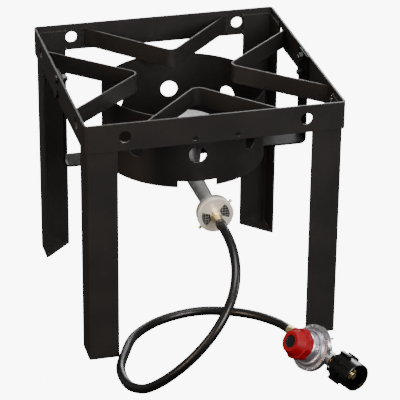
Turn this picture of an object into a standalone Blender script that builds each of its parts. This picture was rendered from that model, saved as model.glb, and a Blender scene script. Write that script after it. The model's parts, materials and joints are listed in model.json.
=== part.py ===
"""Square propane burner stand with a cast burner, a hose and an adjustable regulator.

Metres, +Z up, feet on Z = 0, the hose side towards -Y.
"""

import math

import bpy
import numpy as np
from mathutils import Matrix, Vector

for old in list(bpy.data.objects):
    bpy.data.objects.remove(old)

# Driving dimensions ---------------------------------------------------------

GAP = 0.0003
SIDE = 0.4064
HEIGHT = 0.4010
STEEL = 0.0032
BAND_HEIGHT = 0.04445
BAND_CORNER = 0.006
BIG_HOLE = 0.019
BIG_HOLE_OUT = 0.141
SMALL_HOLE = 0.008
SMALL_HOLE_OUT = 0.033
LEG_FLANGE = 0.048
LEG_TOP = HEIGHT - 0.009
SUPPORT_HEIGHT = 0.030
SUPPORT_TOP = HEIGHT - 0.0085
SUPPORT_SPREAD = 0.120
SUPPORT_APEX = 0.0705
SUPPORT_BEND = 0.015
SHIELD_RADIUS = 0.130
SHIELD_STEEL = 0.002
SHIELD_BOTTOM = 0.243
SHIELD_BACK = 0.006
SHIELD_TURN = math.radians(-3.7)
SHIELD_HOLE = 0.028
SHIELD_HOLE_Z = 0.299
SHIELD_HOLES = 8
NOTCH_DEEP = 0.0103
NOTCH_WIDE = 0.061
STRAP_WIDE = 0.04445
STRAP_TOP = 0.252
STRAP_BEND = 0.010
STRAP_BACK = 0.003
BOLT_RADIUS = 0.004
BOLT_HEIGHTS = (HEIGHT - 0.035, HEIGHT - 0.009)
HEAD_RADIUS = 0.057
HEAD_TOP = 0.298
VENTURI_Z = 0.232
SHUTTER_FACE = -SIDE / 2
SHUTTER_RADIUS = 0.0285
BELL_RADIUS = 0.0270
HOSE_RADIUS = 0.0073
REGULATOR_AT = Vector((0.1406, -0.2959, 0.0277))
REGULATOR_INLET = Vector((0.351, -0.936, -0.022))
REGULATOR_BONNET = Vector((-0.797, -0.311, 0.517))
DIAPHRAGM_UP = 0.012
FLANGE_RADIUS = 0.0355
KNOB_FRONT = 0.0635
NUT_BACK = 0.0536
NUT_LENGTH = 0.046

parts = bpy.data.collections.new("propane_burner_stand")
cutters = bpy.data.collections.new("cutters")
cutters.hide_render = True
bpy.context.scene.collection.children.link(parts)
bpy.context.scene.collection.children.link(cutters)


# Materials ------------------------------------------------------------------

def material(name, colour, roughness, metallic):
    made = bpy.data.materials.new(name)
    made.use_nodes = True
    shader = made.node_tree.nodes["Principled BSDF"]
    shader.inputs["Base Color"].default_value = (*colour, 1)
    shader.inputs["Roughness"].default_value = roughness
    shader.inputs["Metallic"].default_value = metallic
    return made


powder_coat = material("powder_coat", (0.022, 0.021, 0.020), 0.5, 0.0)
cast_metal = material("cast_metal", (0.55, 0.55, 0.55), 0.45, 1.0)
zinc_plate = material("zinc_plate", (0.70, 0.66, 0.58), 0.4, 1.0)
brass = material("brass", (0.72, 0.56, 0.26), 0.3, 1.0)
steel = material("steel", (0.6, 0.6, 0.6), 0.3, 1.0)
die_cast = material("die_cast", (0.62, 0.62, 0.63), 0.4, 1.0)
hose_rubber = material("hose_rubber", (0.012, 0.012, 0.013), 0.4, 0.0)
seal_rubber = material("seal_rubber", (0.02, 0.02, 0.02), 0.7, 0.0)
red_plastic = material("red_plastic", (0.42, 0.012, 0.014), 0.35, 0.0)
dark_insert = material("dark_insert", (0.012, 0.020, 0.022), 0.3, 0.0)
nut_plastic = material("nut_plastic", (0.010, 0.010, 0.010), 0.3, 0.0)


# Modelling steps ------------------------------------------------------------

def keep(obj, mat=None, parent=None):
    """Puts an object in the part's collection, or with the cutters if it has no material."""
    for held in list(obj.users_collection):
        held.objects.unlink(obj)
    if mat is None:
        cutters.objects.link(obj)
        obj.display_type = "WIRE"
        obj.hide_render = True
    else:
        parts.objects.link(obj)
        obj.data.materials.clear()
        obj.data.materials.append(mat)
    if parent:
        obj.parent = parent
    return obj


def axis_empty(name, matrix):
    empty = bpy.data.objects.new(name, None)
    parts.objects.link(empty)
    empty.matrix_world = matrix
    return empty


def block(name, low, high, mat=None, parent=None):
    low, high = Vector(low), Vector(high)
    bpy.ops.mesh.primitive_cube_add(size=1, location=(low + high) / 2)
    obj = bpy.context.object
    obj.name = name
    obj.scale = high - low
    bpy.ops.object.transform_apply(location=False, rotation=False, scale=True)
    return keep(obj, mat, parent)


def rod(name, radius, low, high, axis="Z", sides=32, centre=(0, 0, 0), mat=None, parent=None):
    """A round bar along an axis, from low to high on it."""
    turn = {"X": (0, math.pi / 2, 0), "Y": (-math.pi / 2, 0, 0), "Z": (0, 0, 0)}[axis]
    along = {"X": Vector((1, 0, 0)), "Y": Vector((0, 1, 0)), "Z": Vector((0, 0, 1))}[axis]
    bpy.ops.mesh.primitive_cylinder_add(
        vertices=sides, radius=radius, depth=high - low,
        location=Vector(centre) + along * (low + high) / 2, rotation=turn)
    obj = bpy.context.object
    obj.name = name
    return keep(obj, mat, parent)


def to_mesh(drawn_object, mat=None, parent=None):
    """Swaps a curve or a turned profile for the mesh that it draws."""
    bpy.context.view_layer.update()
    drawn = drawn_object.evaluated_get(bpy.context.evaluated_depsgraph_get())
    mesh = bpy.data.meshes.new_from_object(drawn)
    name = drawn_object.name
    place = drawn_object.matrix_world.copy()
    bpy.data.objects.remove(drawn_object)
    obj = bpy.data.objects.new(name, mesh)
    obj.matrix_world = place
    keep(obj, mat, parent)
    bpy.context.view_layer.objects.active = obj
    obj.select_set(True)
    bpy.ops.object.mode_set(mode="EDIT")
    bpy.ops.mesh.select_all(action="SELECT")
    bpy.ops.mesh.remove_doubles(threshold=0.00001)
    bpy.ops.mesh.normals_make_consistent(inside=False)
    bpy.ops.object.mode_set(mode="OBJECT")
    obj.select_set(False)
    return obj


def turned(name, profile, steps=48, mat=None, parent=None, closed=False):
    """A profile of (radius, height) points, from the top down the outer side, turned about Z."""
    mesh = bpy.data.meshes.new(name)
    count = len(profile)
    edges = [(i, i + 1) for i in range(count - 1)]
    if closed:
        edges.append((count - 1, 0))
    mesh.from_pydata([(radius, 0, height) for radius, height in profile], edges, [])
    obj = bpy.data.objects.new(name, mesh)
    screw = obj.modifiers.new("turn", "SCREW")
    screw.axis = "Z"
    screw.steps = steps
    screw.render_steps = steps
    screw.use_merge_vertices = True
    screw.merge_threshold = 0.00005
    parts.objects.link(obj)
    return to_mesh(obj, mat, parent)


def outline(name, loops, low, high, turn=(0, 0, 0), mat=None, parent=None, to=(0, 0, 0)):
    """A flat outline, filled, with its thickness from low to high along its own Z."""
    curve = bpy.data.curves.new(name, "CURVE")
    curve.dimensions = "2D"
    curve.fill_mode = "BOTH"
    curve.extrude = (high - low) / 2
    for loop in loops:
        spline = curve.splines.new("POLY")
        spline.points.add(len(loop) - 1)
        for point, place in zip(spline.points, loop):
            point.co = (place[0], place[1], 0, 1)
        spline.use_cyclic_u = True
    obj = bpy.data.objects.new(name, curve)
    parts.objects.link(obj)
    rotation = Matrix.Rotation(turn[2], 4, "Z") @ Matrix.Rotation(turn[1], 4, "Y")
    rotation = rotation @ Matrix.Rotation(turn[0], 4, "X")
    obj.matrix_world = Matrix.Translation(to) @ rotation @ Matrix.Translation((0, 0, (low + high) / 2))
    return to_mesh(obj, mat, parent)


def pipe(name, points, radii, sides=4, mat=None, parent=None):
    """A round bar through points, with capped ends."""
    curve = bpy.data.curves.new(name, "CURVE")
    curve.dimensions = "3D"
    curve.bevel_depth = 1.0
    curve.bevel_resolution = sides
    curve.use_fill_caps = True
    spline = curve.splines.new("POLY")
    spline.points.add(len(points) - 1)
    for point, place, radius in zip(spline.points, points, radii):
        point.co = (*place, 1)
        point.radius = radius
    obj = bpy.data.objects.new(name, curve)
    parts.objects.link(obj)
    return to_mesh(obj, mat, parent)


def combine(obj, other, operation="DIFFERENCE"):
    step = obj.modifiers.new(operation.lower(), "BOOLEAN")
    step.operation = operation
    step.solver = "EXACT"
    step.object = other
    return obj


def soften(obj, width, segments=1, angle=30):
    step = obj.modifiers.new("edges", "BEVEL")
    step.width = width
    step.segments = segments
    step.limit_method = "ANGLE"
    step.angle_limit = math.radians(angle)
    return obj


def arc(centre, radius, start, end, steps):
    """Points of an arc in degrees, ends included."""
    angles = [math.radians(start + (end - start) * i / steps) for i in range(steps + 1)]
    return [(centre[0] + radius * math.cos(a), centre[1] + radius * math.sin(a)) for a in angles]


def rounded_square(half, radius, steps=4):
    inner = half - radius
    points = []
    for number, (x, y) in enumerate(((1, 1), (-1, 1), (-1, -1), (1, -1))):
        points += arc((x * inner, y * inner), radius, 90 * number, 90 * number + 90, steps)
    return points


def ring_outline(radius, steps=32):
    return arc((0, 0), radius, 0, 360 - 360 / steps, steps - 1)


def hexagon(flats):
    return arc((0, 0), flats / math.sqrt(3), 0, 300, 5)


# Rim band: one flat bar bent square and welded, with hang and bracket holes ---

half = SIDE / 2
band = outline(
    "rim_band",
    [rounded_square(half, BAND_CORNER), rounded_square(half - STEEL, BAND_CORNER - STEEL)],
    HEIGHT - BAND_HEIGHT, HEIGHT, mat=powder_coat)
for side in (-1, 1):
    out = side * BIG_HOLE_OUT
    hole_z = HEIGHT - BAND_HEIGHT / 2
    combine(band, rod("hole", BIG_HOLE / 2, -half - 0.01, half + 0.01, "Y", 28, (out, 0, hole_z)))
    combine(band, rod("hole", BIG_HOLE / 2, -half - 0.01, half + 0.01, "X", 28, (0, out, hole_z)))
    small_z = HEIGHT - BAND_HEIGHT + 0.0080
    small = rod("hole", SMALL_HOLE / 2, -half - 0.01, -half + 0.01, "Y", 16,
                (side * SMALL_HOLE_OUT, 0, small_z))
    combine(band, small)
for bolt_z in BOLT_HEIGHTS:
    combine(band, rod("hole", BOLT_RADIUS + GAP, -half - 0.01, half + 0.01, "X", 16,
                      (0, STRAP_BACK, bolt_z)))


# Legs: angle iron inside the band's corners, each with a foot plate ----------

LEG_CORNER = 0.0030
LEG_FILLET = 0.0035


def leg_profile(size, inset):
    """The L of one leg, its outer corner at the origin and its flanges along +X and +Y."""
    inner = STEEL + inset
    points = arc((LEG_CORNER, LEG_CORNER), LEG_CORNER, 180, 270, 4)
    points += [(size, 0), (size, inner)]
    points += arc((inner + LEG_FILLET, inner + LEG_FILLET), LEG_FILLET, 270, 180, 4)
    return points + [(inner, size), (0, size)]


def foot_profile():
    near = STEEL + GAP
    cut = near + LEG_FILLET
    return [(cut, near), (LEG_FLANGE, near), (near, LEG_FLANGE), (near, cut)]


leg_corner = half - STEEL - GAP
for end_y, end_name, in ((-1, "front"), (1, "back")):
    for side_x, side_name in ((-1, "left"), (1, "right")):
        turn = {(-1, -1): 0, (1, -1): 90, (1, 1): 180, (-1, 1): 270}[(side_x, end_y)]
        corner = (side_x * leg_corner, end_y * leg_corner, 0)
        outline(f"leg_{end_name}_{side_name}", [leg_profile(LEG_FLANGE, 0)], 0, LEG_TOP,
                (0, 0, math.radians(turn)), powder_coat, to=corner)
        outline(f"foot_plate_{end_name}_{side_name}", [foot_profile()], 0, STEEL,
                (0, 0, math.radians(turn)), powder_coat, to=corner)


# Pot supports: flat bars on edge, bent to a V with its point to the middle ----

def support_profile():
    """The V seen from above, open towards -Y, its ends cut along the band's inner face."""
    end_y = -(half - STEEL - GAP)
    slope = math.atan2(-SUPPORT_APEX - end_y, SUPPORT_SPREAD)
    centre = (0, -SUPPORT_APEX - SUPPORT_BEND / math.cos(slope))
    sweep = math.degrees(slope)
    loops = []
    for radius, order in ((SUPPORT_BEND, 1), (SUPPORT_BEND - STEEL, -1)):
        bend = arc(centre, radius, 90 - sweep, 90 + sweep, 8)
        reach = (bend[0][1] - end_y) / math.tan(slope)
        points = [(bend[0][0] + reach, end_y)] + bend + [(bend[-1][0] - reach, end_y)]
        loops += points[::order]
    return loops


for name, turn in (("front", 0), ("right", 90), ("back", 180), ("left", 270)):
    outline(f"pot_support_{name}", [support_profile()], SUPPORT_TOP - SUPPORT_HEIGHT, SUPPORT_TOP,
            (0, 0, math.radians(turn)), powder_coat)


# Windshield: rolled strip hanging under the pot supports ----------------------

shield_top = SUPPORT_TOP - SUPPORT_HEIGHT - GAP
shield = turned(
    "windshield",
    [(SHIELD_RADIUS, shield_top), (SHIELD_RADIUS, SHIELD_BOTTOM),
     (SHIELD_RADIUS - SHIELD_STEEL, SHIELD_BOTTOM), (SHIELD_RADIUS - SHIELD_STEEL, shield_top)],
    80, powder_coat, closed=True)
shield.location.y = SHIELD_BACK
for number in range(SHIELD_HOLES):
    angle = SHIELD_TURN + math.tau * number / SHIELD_HOLES
    vent = rod("hole", SHIELD_HOLE / 2, 0.10, 0.15, "Y", 24, (0, 0, 0))
    vent.matrix_world = (
        Matrix.Translation((0, SHIELD_BACK, SHIELD_HOLE_Z)) @ Matrix.Rotation(angle, 4, "Z")
        @ Matrix.Translation((0, -0.125, 0)) @ Matrix.Rotation(math.pi / 2, 4, "X"))
    combine(shield, vent)
for angle in (SHIELD_TURN, math.pi / 2, -math.pi / 2):
    notch = block("notch", (-NOTCH_WIDE / 2, -0.15, SHIELD_BOTTOM - 0.01),
                  (NOTCH_WIDE / 2, -0.10, SHIELD_BOTTOM + NOTCH_DEEP))
    notch.matrix_world = (
        Matrix.Translation((0, SHIELD_BACK, 0)) @ Matrix.Rotation(angle, 4, "Z")
        @ Matrix.Translation((0, -0.125, SHIELD_BOTTOM + NOTCH_DEEP / 2 - 0.005)))
    combine(shield, notch)


# Burner strap: flat bar bent to a wide U and bolted to the band's two sides ---

def strap_profile():
    """The U seen from the front, its arms against the band's inner faces."""
    outer = half - STEEL - GAP
    low = STRAP_TOP - STEEL
    top = HEIGHT - 0.001
    inner = STRAP_BEND - STEEL
    bend_x = outer - STRAP_BEND
    bend_z = low + STRAP_BEND
    outside = [(-outer, top)] + arc((-bend_x, bend_z), STRAP_BEND, 180, 270, 6)
    outside += arc((bend_x, bend_z), STRAP_BEND, 270, 360, 6) + [(outer, top)]
    inside = [(outer - STEEL, top)] + arc((bend_x, bend_z), inner, 360, 270, 6)
    inside += arc((-bend_x, bend_z), inner, 270, 180, 6) + [(-outer + STEEL, top)]
    return outside + inside


strap = outline("burner_strap", [strap_profile()], -STRAP_BACK - STRAP_WIDE / 2,
                -STRAP_BACK + STRAP_WIDE / 2, (math.pi / 2, 0, 0), powder_coat)
for bolt_z in BOLT_HEIGHTS:
    combine(strap, rod("hole", BOLT_RADIUS + GAP, -half - 0.01, half + 0.01, "X", 16,
                       (0, STRAP_BACK, bolt_z)))
combine(strap, rod("hole", 0.0053, STRAP_TOP - 0.01, STRAP_TOP + 0.01, "Z", 20,
                   (0, 0, 0)))

# Strap bolts and nuts, two each side
BOLT_HEAD = 0.0040
BOLT_FLATS = 0.013
NUT_THICK = 0.0065
for side, side_name in ((-1, "left"), (1, "right")):
    for bolt_z, level in zip(BOLT_HEIGHTS, ("lower", "upper")):
        bolt = turned(
            f"strap_bolt_{side_name}_{level}",
            [(0, BOLT_HEAD), (0.0052, BOLT_HEAD), (0.0066, BOLT_HEAD - 0.0012), (0.0066, GAP),
             (BOLT_RADIUS, GAP), (BOLT_RADIUS, -0.0155), (BOLT_RADIUS - 0.0007, -0.0165), (0, -0.0165)],
            24, powder_coat)
        bolt.location = (side * half, STRAP_BACK, bolt_z)
        bolt.rotation_euler = (0, side * math.pi / 2, 0)
        nut = outline(f"strap_nut_{side_name}_{level}",
                      [hexagon(BOLT_FLATS), ring_outline(BOLT_RADIUS + GAP, 16)], 0, NUT_THICK,
                      (0, math.pi / 2, 0), powder_coat,
                      to=(side * (half - 2 * STEEL - 2 * GAP - NUT_THICK / 2) - NUT_THICK / 2,
                          STRAP_BACK, bolt_z))


# Burner casting: bowl, elbow and venturi in one, its bell facing -Y -----------

venturi = axis_empty("venturi_axis", Matrix.Translation((0, SHUTTER_FACE, VENTURI_Z))
                     @ Matrix.Rotation(math.pi / 2, 4, "X"))
seat_z = STRAP_TOP + GAP
casting = turned(
    "burner_casting",
    [(0, 0.2745), (0.0460, 0.2745), (HEAD_RADIUS - 0.004, 0.2830), (HEAD_RADIUS - 0.004, 0.2920),
     (HEAD_RADIUS, 0.2920), (HEAD_RADIUS, 0.2840), (0.0500, 0.2715), (0.0300, 0.2630),
     (0.0160, 0.2590), (0.0160, seat_z), (0, seat_z)], 64, cast_metal)
elbow = [(0, -0.030, 0.278), (0, -0.036, 0.266)]
elbow += [(0, y - 0.062, z + 0.254) for y, z in arc((0, 0), 0.022, 0, -90, 8)]
elbow_radii = [0.0235, 0.0205] + [0.0180 - 0.0050 * i / 8 for i in range(9)]
neck = pipe("neck", elbow + [(0, -0.120, VENTURI_Z), (0, SHUTTER_FACE + 0.012, VENTURI_Z)],
            elbow_radii + [0.0122, 0.0105])
combine(casting, neck, "UNION")
bell = turned("bell", [(0, -0.0022), (BELL_RADIUS, -0.0022), (BELL_RADIUS, -0.0085),
                       (0.0240, -0.0110), (0.0120, -0.0180), (0.0095, -0.0230), (0, -0.0230)], 48)
bell.parent = venturi
combine(casting, bell, "UNION")
bore_radii = [radius - 0.0035 for radius in elbow_radii]
bore = pipe("bore", [(0, -0.028, 0.281)] + elbow[1:]
            + [(0, -0.120, VENTURI_Z), (0, SHUTTER_FACE + 0.018, VENTURI_Z)],
            [0.0195] + bore_radii[1:] + [0.0085, 0.0070])
combine(casting, bore)
chamber = turned("chamber", [(0, -0.0050), (0.0240, -0.0050), (0.0240, -0.0080), (0.0090, -0.0165),
                             (0.0065, -0.0240), (0, -0.0240)], 32)
chamber.parent = venturi
combine(casting, chamber)
bolt_bore = rod("hole", 0.0040 + GAP, seat_z - 0.001, seat_z + 0.0130, "Z", 20)
combine(casting, bolt_bore)

# The bell's front plate and the shutter share one outline of window
WINDOW_IN = 0.0085
WINDOW_OUT = 0.0222
WINDOW_SPAN = 34
SHUTTER_TURN = 18


def window(side, turn=0):
    """A wide opening on one side of the bell's centre."""
    middle = (0 if side > 0 else 180) + turn
    points = arc((0, 0), WINDOW_OUT, middle - WINDOW_SPAN, middle + WINDOW_SPAN, 8)
    return points + arc((0, 0), WINDOW_IN, middle + WINDOW_SPAN, middle - WINDOW_SPAN, 4)


for side in (-1, 1):
    opening = outline("window", [window(side)], -0.0060, 0.0, parent=venturi)
    combine(casting, opening)
thread_bore = rod("hole", 0.0048 + GAP, -0.0060, 0.0, parent=venturi)
combine(casting, thread_bore)

# Burner cap: domed port plate pressed into the bowl's rim
cap = turned(
    "burner_cap",
    [(0, HEAD_TOP + 0.0035), (0.030, HEAD_TOP + 0.0025), (0.047, HEAD_TOP), (HEAD_RADIUS - 0.0005, 0.2955),
     (HEAD_RADIUS, 0.2945), (HEAD_RADIUS, 0.2923), (HEAD_RADIUS - 0.0043, 0.2923),
     (HEAD_RADIUS - 0.0043, 0.2895), (0.049, 0.2895), (0.046, 0.2935), (0.030, HEAD_TOP - 0.0020),
     (0, HEAD_TOP - 0.0010)], 56, cast_metal)
PORT_RINGS = ((0.0400, 20), (0.0270, 12))
for ring_radius, count in PORT_RINGS:
    for number in range(count):
        angle = math.tau * number / count
        combine(cap, rod("port", 0.0013, 0.285, 0.305, "Z", 6,
                         (ring_radius * math.cos(angle), ring_radius * math.sin(angle), 0)))

# Mounting bolt: up through a washer and the strap into the casting's boss
bolt_low = STRAP_TOP - STEEL - GAP
washer = turned("burner_washer", [(0.0090, bolt_low), (0.0090, bolt_low - 0.0016),
                                  (0.0044, bolt_low - 0.0016), (0.0044, bolt_low)], 24, steel, closed=True)
head_top = bolt_low - 0.0016 - GAP
bolt = outline("burner_bolt", [hexagon(0.013)], head_top - 0.0053, head_top, mat=steel)
combine(bolt, rod("shank", 0.0040, head_top - 0.001, head_top + 0.0165, "Z", 20), "UNION")


# Air shutter: a shallow pressed cup turning on the bell, with two windows -----

shutter = turned(
    "air_shutter",
    [(0.0068, 0), (SHUTTER_RADIUS - 0.0008, 0), (SHUTTER_RADIUS, -0.0008), (SHUTTER_RADIUS, -0.0070),
     (BELL_RADIUS + 0.0004, -0.0070), (BELL_RADIUS + 0.0004, -0.0010), (0.0068, -0.0010)],
    48, zinc_plate, venturi, closed=True)
for side in (-1, 1):
    combine(shutter, outline("window", [window(side, SHUTTER_TURN)], -0.0020, 0.0010, parent=venturi))
SCREW_ANGLES = {"upper": 40, "lower": 220}
for level, degrees in SCREW_ANGLES.items():
    direction = Vector((math.cos(math.radians(degrees)), math.sin(math.radians(degrees)), 0))
    pose = (Matrix.Translation((0, 0, -0.0040)) @ Matrix.Rotation(math.radians(degrees), 4, "Z")
            @ Matrix.Rotation(math.pi / 2, 4, "Y"))
    socket = rod("hole", 0.0013 + 0.0002, BELL_RADIUS - 0.001, SHUTTER_RADIUS + 0.001, "Z", 12,
                 parent=venturi)
    socket.matrix_basis = pose @ Matrix.Translation((0, 0, SHUTTER_RADIUS))
    combine(shutter, socket)
    screw = turned(
        f"shutter_screw_{level}",
        [(0, SHUTTER_RADIUS + 0.0050), (0.0022, SHUTTER_RADIUS + 0.0050),
         (0.0025, SHUTTER_RADIUS + 0.0042), (0.0025, SHUTTER_RADIUS + GAP + 0.0001),
         (0.0013, SHUTTER_RADIUS + GAP + 0.0001), (0.0013, BELL_RADIUS + 0.0003), (0, BELL_RADIUS + 0.0003)],
        16, brass, venturi)
    screw.matrix_basis = pose

# Insect screen: a woven disc held between the bell and the shutter
screen = turned("insect_screen", [(BELL_RADIUS - 0.0006, -0.0013), (BELL_RADIUS - 0.0006, -0.0019),
                                  (0.0052, -0.0019), (0.0052, -0.0013)], 32, steel, venturi, closed=True)
MESH_PITCH = 0.0044
MESH_OPENING = 0.0036
mesh_cells = bpy.data.meshes.new("mesh_cells")
cells = bpy.data.objects.new("mesh_cells", mesh_cells)
keep(cells, parent=venturi)
corner_points = []
corner_faces = []
for column in range(-5, 6):
    for row in range(-5, 6):
        x, y = column * MESH_PITCH, row * MESH_PITCH
        distance = math.hypot(x, y)
        if 0.0078 < distance < 0.0230 and abs(math.degrees(math.atan2(y, abs(x)))) < 62:
            first = len(corner_points)
            reach = MESH_OPENING / 2
            for level in (-0.0025, -0.0005):
                corner_points += [(x + dx * reach, y + dy * reach, level)
                                  for dx, dy in ((-1, -1), (1, -1), (1, 1), (-1, 1))]
            sides = [(3, 2, 1, 0), (4, 5, 6, 7)]
            sides += [(i, (i + 1) % 4, (i + 1) % 4 + 4, i + 4) for i in range(4)]
            corner_faces += [tuple(first + i for i in side) for side in sides]
mesh_cells.from_pydata(corner_points, [], corner_faces)
combine(screen, cells)


# Hose: rubber gas hose from the burner to the regulator, lying on the floor ---

regulator_x = REGULATOR_INLET.normalized()
regulator_z = (REGULATOR_BONNET - regulator_x * REGULATOR_BONNET.dot(regulator_x)).normalized()
regulator_y = regulator_z.cross(regulator_x)
regulator_frame = Matrix.Translation(REGULATOR_AT) @ Matrix(
    (regulator_x, regulator_y, regulator_z)).transposed().to_4x4()
regulator = axis_empty("regulator_axis", regulator_frame)
OUTLET_END = 0.0720
HOSE_LEAVES = 0.0380
hose_start = Vector((0, SHUTTER_FACE - HOSE_LEAVES - GAP, VENTURI_Z))
hose_end = regulator_frame @ Vector((-OUTLET_END - GAP, 0, 0))
HOSE_ROUTE = [
    (0.0008, -0.2966, 0.2238), (-0.0045, -0.3387, 0.2075), (-0.0163, -0.3690, 0.1865),
    (-0.0351, -0.3897, 0.1615), (-0.0568, -0.3997, 0.1355), (-0.0836, -0.3997, 0.1045),
    (-0.1080, -0.3892, 0.0757), (-0.1303, -0.3690, 0.0472), (-0.1475, -0.3422, 0.0249),
    (-0.1610, -0.3019, 0.0110), (-0.1610, -0.2498, 0.0078), (-0.1428, -0.2020, 0.0078),
    (-0.1190, -0.1575, 0.0080), (-0.0803, -0.1254, 0.0090), (-0.0351, -0.1122, 0.0120),
    (0.0062, -0.1163, 0.0160), (0.0509, -0.1391, 0.0205), (0.0874, -0.1750, 0.0255),
]
HOSE_POINTS = 56
HOSE_STRAIGHT = 0.005


def smooth_route(points, start_way, end_way, count):
    """Evenly spread points on a smooth curve through the given ones."""
    knots = np.array([tuple(point) for point in points])
    lengths = np.concatenate([[0], np.cumsum(np.linalg.norm(np.diff(knots, axis=0), axis=1))])
    slopes = np.zeros_like(knots)
    slopes[1:-1] = (knots[2:] - knots[:-2]) / (lengths[2:] - lengths[:-2])[:, None]
    slopes[0] = start_way
    slopes[-1] = end_way
    fine = []
    for distance in np.linspace(0, lengths[-1], 1200):
        i = min(int(np.searchsorted(lengths, distance, "right")) - 1, len(knots) - 2)
        span = lengths[i + 1] - lengths[i]
        t = (distance - lengths[i]) / span
        fine.append((2 * t**3 - 3 * t**2 + 1) * knots[i] + (t**3 - 2 * t**2 + t) * span * slopes[i]
                    + (3 * t**2 - 2 * t**3) * knots[i + 1] + (t**3 - t**2) * span * slopes[i + 1])
    fine = np.array(fine)
    along = np.concatenate([[0], np.cumsum(np.linalg.norm(np.diff(fine, axis=0), axis=1))])
    even = np.linspace(0, along[-1], count)
    return [tuple(np.interp(distance, along, fine[:, k]) for k in range(3)) for distance in even]


straight_start = hose_start + Vector((0, -HOSE_STRAIGHT, 0))
straight_end = hose_end - regulator_x * HOSE_STRAIGHT
route = smooth_route([straight_start] + HOSE_ROUTE + [straight_end], (0, -1, 0), tuple(regulator_x), HOSE_POINTS)
route = [tuple(hose_start)] + route + [tuple(hose_end)]
pipe("hose", route, [HOSE_RADIUS] * len(route), 3, hose_rubber)

# Brass fitting on the hose's burner end: thread, hex and crimped ferrule
orifice = turned(
    "orifice_fitting",
    [(0.0062, 0.0260), (0.0068, 0.0250), (0.0068, 0.0100), (0.0058, 0.0095), (0.0058, 0.0003),
     (0.0048, 0.0003), (0.0048, -0.0088), (0.0025, -0.0095), (0.0025, 0.0260)], 24, brass, venturi,
    closed=True)
combine(orifice, outline("hex", [hexagon(0.0127), ring_outline(0.0026, 24)], 0.0006, 0.0100, parent=venturi),
        "UNION")
turned("orifice_jet", [(0.0022, -0.0060), (0.0022, -0.0120), (0.0014, -0.0150), (0.0005, -0.0150),
                       (0.0005, -0.0060)], 16, brass, venturi, closed=True)
turned("hose_ferrule_burner",
       [(0.0074, HOSE_LEAVES), (0.0082, 0.0372), (0.0082, 0.0290), (0.0078, 0.0282), (0.0078, 0.0264),
        (0.0030, 0.0264), (0.0030, HOSE_LEAVES)], 24, hose_rubber, venturi, closed=True)


# Regulator: die-cast body, crimped diaphragm cover, red knob, black hand nut --
# Its own X runs from outlet to inlet and its own Z up the bonnet.

body = turned(
    "regulator_body",
    [(0, 0.0100), (FLANGE_RADIUS, 0.0116), (FLANGE_RADIUS, 0.0092), (0.0320, 0.0085), (0.0290, 0.0010),
     (0.0215, -0.0110), (0.0190, -0.0125), (0, -0.0125)], 48, die_cast, regulator)
inlet_boss = rod("inlet_boss", 0.0118, 0.015, 0.0420, "X", 24, parent=regulator)
outlet_boss = rod("outlet_boss", 0.0112, -0.0420, -0.015, "X", 24, parent=regulator)
crimp_out = FLANGE_RADIUS + 0.0013
crimp_room = block("crimp_room", (-crimp_out - 0.0004, -0.02, 0.0072), (crimp_out + 0.0004, 0.02, 0.02),
                   parent=regulator)
combine(inlet_boss, crimp_room)
combine(outlet_boss, crimp_room)
combine(body, inlet_boss, "UNION")
combine(body, outlet_boss, "UNION")
cavity = turned("cavity", [(0, 0.0200), (0.0270, 0.0200), (0.0270, 0.0050), (0.0160, 0.0000), (0, 0.0000)], 32,
                parent=regulator)
combine(body, cavity)
combine(body, rod("bore", 0.0060 + GAP, 0.0240, 0.0500, "X", 20, parent=regulator))
combine(body, rod("bore", 0.0050 + GAP, -0.0500, -0.0240, "X", 20, parent=regulator))
combine(body, rod("bore", 0.0022, 0.0100, 0.0250, "X", 12, parent=regulator, centre=(0, 0, 0.0030)))
combine(body, rod("bore", 0.0022, -0.0250, -0.0100, "X", 12, parent=regulator, centre=(0, 0, 0.0030)))

# Inside: diaphragm, its plate, the range spring and the valve
turned("diaphragm", [(0, DIAPHRAGM_UP + 0.0004), (0.0335, DIAPHRAGM_UP + 0.0004),
                     (0.0335, DIAPHRAGM_UP - 0.0001), (0, DIAPHRAGM_UP - 0.0001)],
       32, seal_rubber, regulator)
turned("diaphragm_plate", [(0, 0.0143), (0.0130, 0.0143), (0.0140, 0.0138), (0.0140, 0.0127), (0, 0.0127)],
       32, steel, regulator)
turned("valve_stem", [(0, 0.0115), (0.0050, 0.0115), (0.0050, 0.0100), (0.0018, 0.0095), (0.0018, 0.0032),
                      (0.0035, 0.0024), (0.0035, 0.0015), (0, 0.0015)], 16, brass, regulator)
SPRING_RADIUS = 0.0085
SPRING_WIRE = 0.0011
SPRING_TURNS = 5
SPRING_LOW = 0.0143 + GAP + SPRING_WIRE
SPRING_HIGH = 0.0340
SPRING_STEPS = 14
count = SPRING_TURNS * SPRING_STEPS + 1
coil = []
for number in range(count):
    angle = math.tau * number / SPRING_STEPS
    height = SPRING_LOW + (SPRING_HIGH - SPRING_LOW) * number / (count - 1)
    coil.append((SPRING_RADIUS * math.cos(angle), SPRING_RADIUS * math.sin(angle), height))
pipe("range_spring", coil, [SPRING_WIRE] * count, 1, steel, regulator)
seat_low = SPRING_HIGH + SPRING_WIRE + GAP
turned("spring_seat", [(0, seat_low + 0.0030), (0.0102, seat_low + 0.0030), (0.0108, seat_low + 0.0024),
                       (0.0108, seat_low), (0, seat_low)], 24, steel, regulator)

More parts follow.
